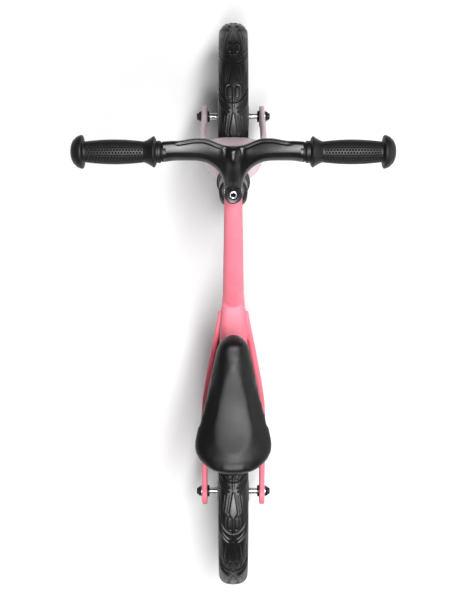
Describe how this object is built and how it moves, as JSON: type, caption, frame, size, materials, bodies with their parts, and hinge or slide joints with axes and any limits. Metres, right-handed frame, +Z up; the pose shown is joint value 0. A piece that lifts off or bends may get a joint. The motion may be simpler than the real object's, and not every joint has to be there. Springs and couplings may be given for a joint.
{
  "type": "balance bike",
  "caption": "Child's balance bike without pedals: moulded pink frame, paler fork, T-shaped handlebar with dimpled grips, foam-tyred wheels and a padded saddle on a sliding post.",
  "frame": {"origin": "on the floor, midway between the two axles, in the middle plane", "axes": "+X forward, towards the front wheel; +Y to the rider's left, along the axles; +Z up"},
  "size_m": [0.85, 0.377, 0.5096],
  "materials": {
    "frame_pink": "satin",
    "fork_pale_pink": "satin",
    "black_plastic": "fine satin",
    "wheel_plastic": "satin",
    "base_plastic": "matt",
    "bush_plastic": "smooth",
    "grip_rubber": "matt moulded",
    "foam_tyre": "moulded foam, soft sheen",
    "saddle_leather": "fine-grained satin synthetic leather",
    "bright_steel": "polished",
    "bearing_steel": "ground",
    "post_steel": "satin black",
    "black_metal": "black oxide"
  },
  "bodies": {
    "frame": {"frame": "frame_pink", "head_cover": "black_plastic", "upper_bush": "bush_plastic", "lower_bush": "bush_plastic", "seat_clamp": "black_metal", "seat_clamp_bolt": "bright_steel", "seat_clamp_nut": "bright_steel", "rear_axle": "bright_steel", "rear_spacers": "bright_steel", "rear_inner_washers": "black_metal", "rear_outer_washers": "bright_steel", "rear_axle_nuts": "black_metal", "rear_bearing_inner_rings": "bearing_steel"},
    "steering": {"fork": "fork_pale_pink", "steerer_tube": "bright_steel", "crown_shield": "black_plastic", "handlebar": "black_plastic", "stem_bolt": "bright_steel", "stem_wedge": "bright_steel", "grip_left": "grip_rubber", "grip_right": "grip_rubber", "front_axle": "bright_steel", "front_spacers": "bright_steel", "front_inner_washers": "black_metal", "front_outer_washers": "bright_steel", "front_axle_nuts": "black_metal", "front_bearing_inner_rings": "bearing_steel"},
    "front_wheel": {"front_tyre": "foam_tyre", "front_wheel": "wheel_plastic", "front_bearing_outer_rings": "bearing_steel", "front_bearing_balls": "bearing_steel"},
    "rear_wheel": {"rear_tyre": "foam_tyre", "rear_wheel": "wheel_plastic", "rear_bearing_outer_rings": "bearing_steel", "rear_bearing_balls": "bearing_steel"},
    "seat": {"seat_post": "post_steel", "saddle_base": "base_plastic", "saddle_cover": "saddle_leather", "saddle_screws": "black_metal"}
  },
  "joints": [
    {"name": "steer", "type": "hinge", "parent": "frame", "child": "steering", "pos_m": [0.14625, 0, 0.40362], "axis": [-0.3746, 0, 0.9272], "range_deg": [-45, 45]},
    {"name": "front_wheel_spin", "type": "hinge", "parent": "steering", "child": "front_wheel", "pos_m": [0.287, 0, 0.138], "axis": [0, 1, 0], "continuous": true},
    {"name": "rear_wheel_spin", "type": "hinge", "parent": "frame", "child": "rear_wheel", "pos_m": [-0.287, 0, 0.138], "axis": [0, 1, 0], "continuous": true},
    {"name": "seat_height", "type": "slide", "parent": "frame", "child": "seat", "axis": [-0.309, 0, 0.9511], "range_m": [0, 0.06]}
  ]
}
